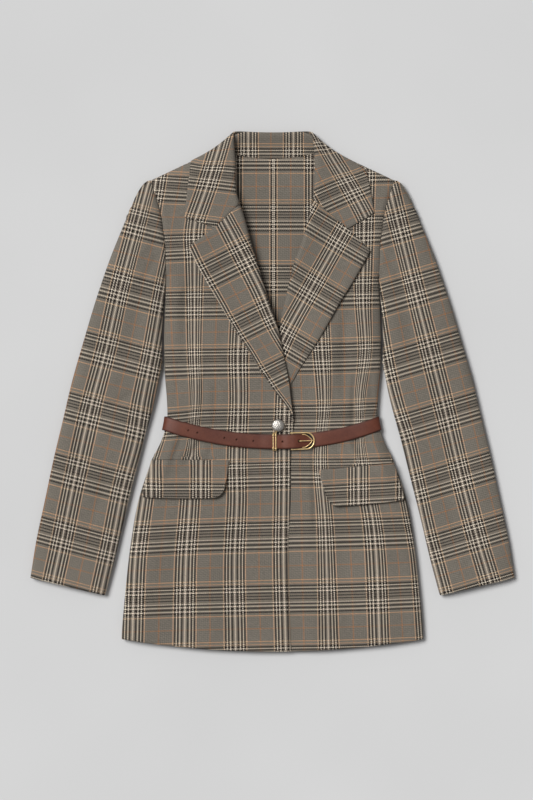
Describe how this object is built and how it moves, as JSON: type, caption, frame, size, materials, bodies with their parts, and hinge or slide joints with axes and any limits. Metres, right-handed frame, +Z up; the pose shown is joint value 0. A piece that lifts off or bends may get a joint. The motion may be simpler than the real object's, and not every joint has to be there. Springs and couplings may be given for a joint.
{
  "type": "blazer",
  "caption": "Woman's single-button wool jacket in a glen check with notched lapels, flap pockets and a narrow brown leather belt with a D-shaped buckle, laid flat",
  "frame": {"origin": "centre of the underside of the jacket's box as it lies on a flat surface", "axes": "+X to the viewer's right (the wearer's left), +Y from hem to collar, +Z up from the surface"},
  "size_m": [0.7276, 0.7827, 0.023],
  "materials": {
    "wool": "matte",
    "leather": "satin",
    "gold_metal": "brushed",
    "silver_metal": "satin"
  },
  "bodies": {
    "root": {"front_right": "wool", "front_left": "wool", "back_right": "wool", "back_left": "wool", "lapel_right": "wool", "lapel_left": "wool", "top_sleeve_right": "wool", "top_sleeve_left": "wool", "under_sleeve_right": "wool", "under_sleeve_left": "wool", "collar_leaf": "wool", "collar_stand": "wool", "flap_right": "wool", "flap_left": "wool", "welt_right": "wool", "welt_left": "wool", "belt_strap": "leather", "buckle_frame": "gold_metal", "buckle_prong": "gold_metal", "belt_keeper": "gold_metal", "button": "silver_metal"}
  },
  "joints": []
}
